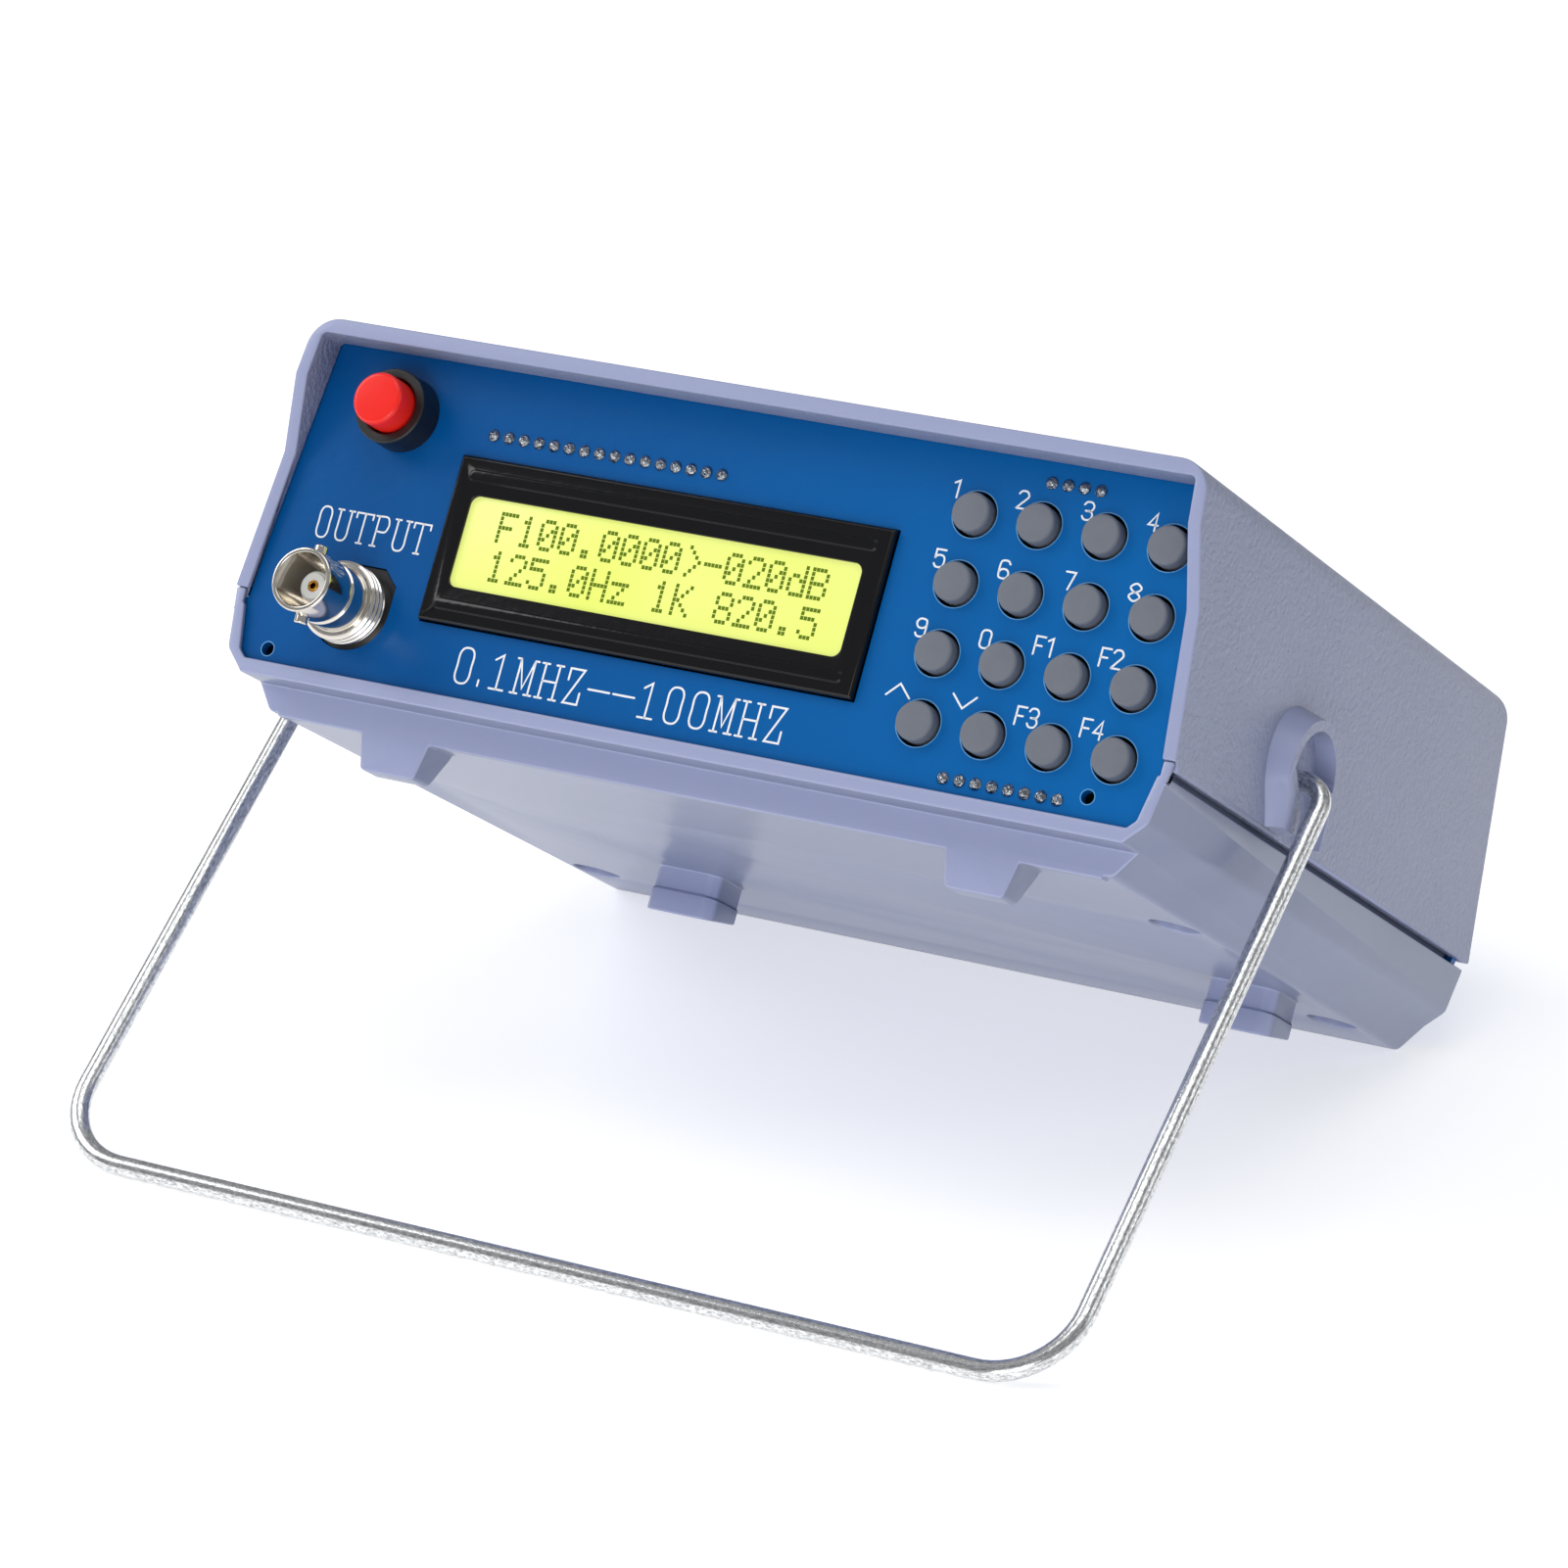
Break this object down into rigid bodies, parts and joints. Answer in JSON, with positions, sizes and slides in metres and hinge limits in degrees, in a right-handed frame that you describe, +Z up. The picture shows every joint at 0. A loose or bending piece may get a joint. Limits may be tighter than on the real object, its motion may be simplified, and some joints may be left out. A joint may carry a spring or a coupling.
{
  "type": "bench frequency instrument",
  "caption": "Bench frequency instrument in a two-part plastic case on a wire bail, with a text display, a square keypad, a round power button and a coaxial output jack.",
  "frame": {"origin": "centre of the footprint's bounding box, on the plane that the instrument stands on", "axes": "+Z up, the front panel faces -Y and upwards, +X to the right as the panel is read"},
  "size_m": [0.1668, 0.1688, 0.1141],
  "materials": {
    "case_top_plastic": "fine spark texture, moulded ABS",
    "case_bottom_plastic": "smooth satin moulded ABS",
    "bail_wire": "bright zinc plate",
    "panel_blue": "glossy solder mask on glass-fibre board",
    "display_black": "black enamel",
    "display_glass": "polished",
    "display_light": "diffused backlight",
    "board_green": "solder mask on glass-fibre board",
    "tinned_pins": "bright solder",
    "key_grey": "fine satin",
    "switch_black": "satin",
    "cap_red": "polished",
    "collar_black": "semi-gloss",
    "nut_steel": "nickel plate",
    "jack_nickel": "polished nickel plate",
    "housing_black": "satin",
    "insulator_white": "turned PTFE",
    "contact_gold": "gold flash",
    "screw_steel": "zinc plate",
    "can_tin": "tin plate",
    "chip_black": "moulded epoxy",
    "capacitor_sleeve": "shrunk sleeve",
    "sink_aluminium": "black anodised",
    "ribbon_grey": "PVC",
    "coax_black": "PVC jacket"
  },
  "bodies": {
    "case": {"top_shell": "case_top_plastic", "bottom_shell": "case_bottom_plastic", "case_screws": "screw_steel", "front_panel": "panel_blue", "rear_panel": "panel_blue", "lcd_frame": "display_black", "lcd_glass": "display_glass", "lcd_backlight": "display_light", "lcd_board": "board_green", "lcd_header": "tinned_pins", "keypad_header_upper": "tinned_pins", "keypad_header_lower": "tinned_pins", "keypad_board": "board_green", "key_switches": "switch_black", "power_collar": "collar_black", "power_nut": "nut_steel", "power_switch": "switch_black", "jack_barrel": "jack_nickel", "jack_housing": "housing_black", "jack_insulator": "insulator_white", "jack_contact": "contact_gold", "main_board": "board_green", "board_screws": "screw_steel", "shield_can": "can_tin", "chips": "chip_black", "crystal": "can_tin", "capacitors": "capacitor_sleeve", "regulator": "chip_black", "heat_sink": "sink_aluminium", "ribbon_cable": "ribbon_grey", "coax_lead": "coax_black", "inlet_body": "housing_black", "inlet_pin": "contact_gold", "inlet_nut": "nut_steel"},
    "bail": {"bail": "bail_wire"},
    "power_button": {"power_cap": "cap_red"},
    "key_1": {"key_1": "key_grey"},
    "key_2": {"key_2": "key_grey"},
    "key_3": {"key_3": "key_grey"},
    "key_4": {"key_4": "key_grey"},
    "key_5": {"key_5": "key_grey"},
    "key_6": {"key_6": "key_grey"},
    "key_7": {"key_7": "key_grey"},
    "key_8": {"key_8": "key_grey"},
    "key_9": {"key_9": "key_grey"},
    "key_0": {"key_0": "key_grey"},
    "key_f1": {"key_f1": "key_grey"},
    "key_f2": {"key_f2": "key_grey"},
    "key_up": {"key_up": "key_grey"},
    "key_down": {"key_down": "key_grey"},
    "key_f3": {"key_f3": "key_grey"},
    "key_f4": {"key_f4": "key_grey"}
  },
  "joints": [
    {"name": "bail_pivot", "type": "hinge", "parent": "case", "child": "bail", "pos_m": [0, -0.00068, 0.06186], "axis": [1, 0, 0], "range_deg": [0, 202]},
    {"name": "power_press", "type": "slide", "parent": "case", "child": "power_button", "axis": [0, 0.8552, -0.5183], "range_m": [0, 0.003], "stiffness_N_per_m": 400},
    {"name": "press_1", "type": "slide", "parent": "case", "child": "key_1", "axis": [0, 0.8552, -0.5183], "range_m": [0, 0.0004], "stiffness_N_per_m": 2500},
    {"name": "press_2", "type": "slide", "parent": "case", "child": "key_2", "axis": [0, 0.8552, -0.5183], "range_m": [0, 0.0004], "stiffness_N_per_m": 2500},
    {"name": "press_3", "type": "slide", "parent": "case", "child": "key_3", "axis": [0, 0.8552, -0.5183], "range_m": [0, 0.0004], "stiffness_N_per_m": 2500},
    {"name": "press_4", "type": "slide", "parent": "case", "child": "key_4", "axis": [0, 0.8552, -0.5183], "range_m": [0, 0.0004], "stiffness_N_per_m": 2500},
    {"name": "press_5", "type": "slide", "parent": "case", "child": "key_5", "axis": [0, 0.8552, -0.5183], "range_m": [0, 0.0004], "stiffness_N_per_m": 2500},
    {"name": "press_6", "type": "slide", "parent": "case", "child": "key_6", "axis": [0, 0.8552, -0.5183], "range_m": [0, 0.0004], "stiffness_N_per_m": 2500},
    {"name": "press_7", "type": "slide", "parent": "case", "child": "key_7", "axis": [0, 0.8552, -0.5183], "range_m": [0, 0.0004], "stiffness_N_per_m": 2500},
    {"name": "press_8", "type": "slide", "parent": "case", "child": "key_8", "axis": [0, 0.8552, -0.5183], "range_m": [0, 0.0004], "stiffness_N_per_m": 2500},
    {"name": "press_9", "type": "slide", "parent": "case", "child": "key_9", "axis": [0, 0.8552, -0.5183], "range_m": [0, 0.0004], "stiffness_N_per_m": 2500},
    {"name": "press_0", "type": "slide", "parent": "case", "child": "key_0", "axis": [0, 0.8552, -0.5183], "range_m": [0, 0.0004], "stiffness_N_per_m": 2500},
    {"name": "press_f1", "type": "slide", "parent": "case", "child": "key_f1", "axis": [0, 0.8552, -0.5183], "range_m": [0, 0.0004], "stiffness_N_per_m": 2500},
    {"name": "press_f2", "type": "slide", "parent": "case", "child": "key_f2", "axis": [0, 0.8552, -0.5183], "range_m": [0, 0.0004], "stiffness_N_per_m": 2500},
    {"name": "press_up", "type": "slide", "parent": "case", "child": "key_up", "axis": [0, 0.8552, -0.5183], "range_m": [0, 0.0004], "stiffness_N_per_m": 2500},
    {"name": "press_down", "type": "slide", "parent": "case", "child": "key_down", "axis": [0, 0.8552, -0.5183], "range_m": [0, 0.0004], "stiffness_N_per_m": 2500},
    {"name": "press_f3", "type": "slide", "parent": "case", "child": "key_f3", "axis": [0, 0.8552, -0.5183], "range_m": [0, 0.0004], "stiffness_N_per_m": 2500},
    {"name": "press_f4", "type": "slide", "parent": "case", "child": "key_f4", "axis": [0, 0.8552, -0.5183], "range_m": [0, 0.0004], "stiffness_N_per_m": 2500}
  ]
}
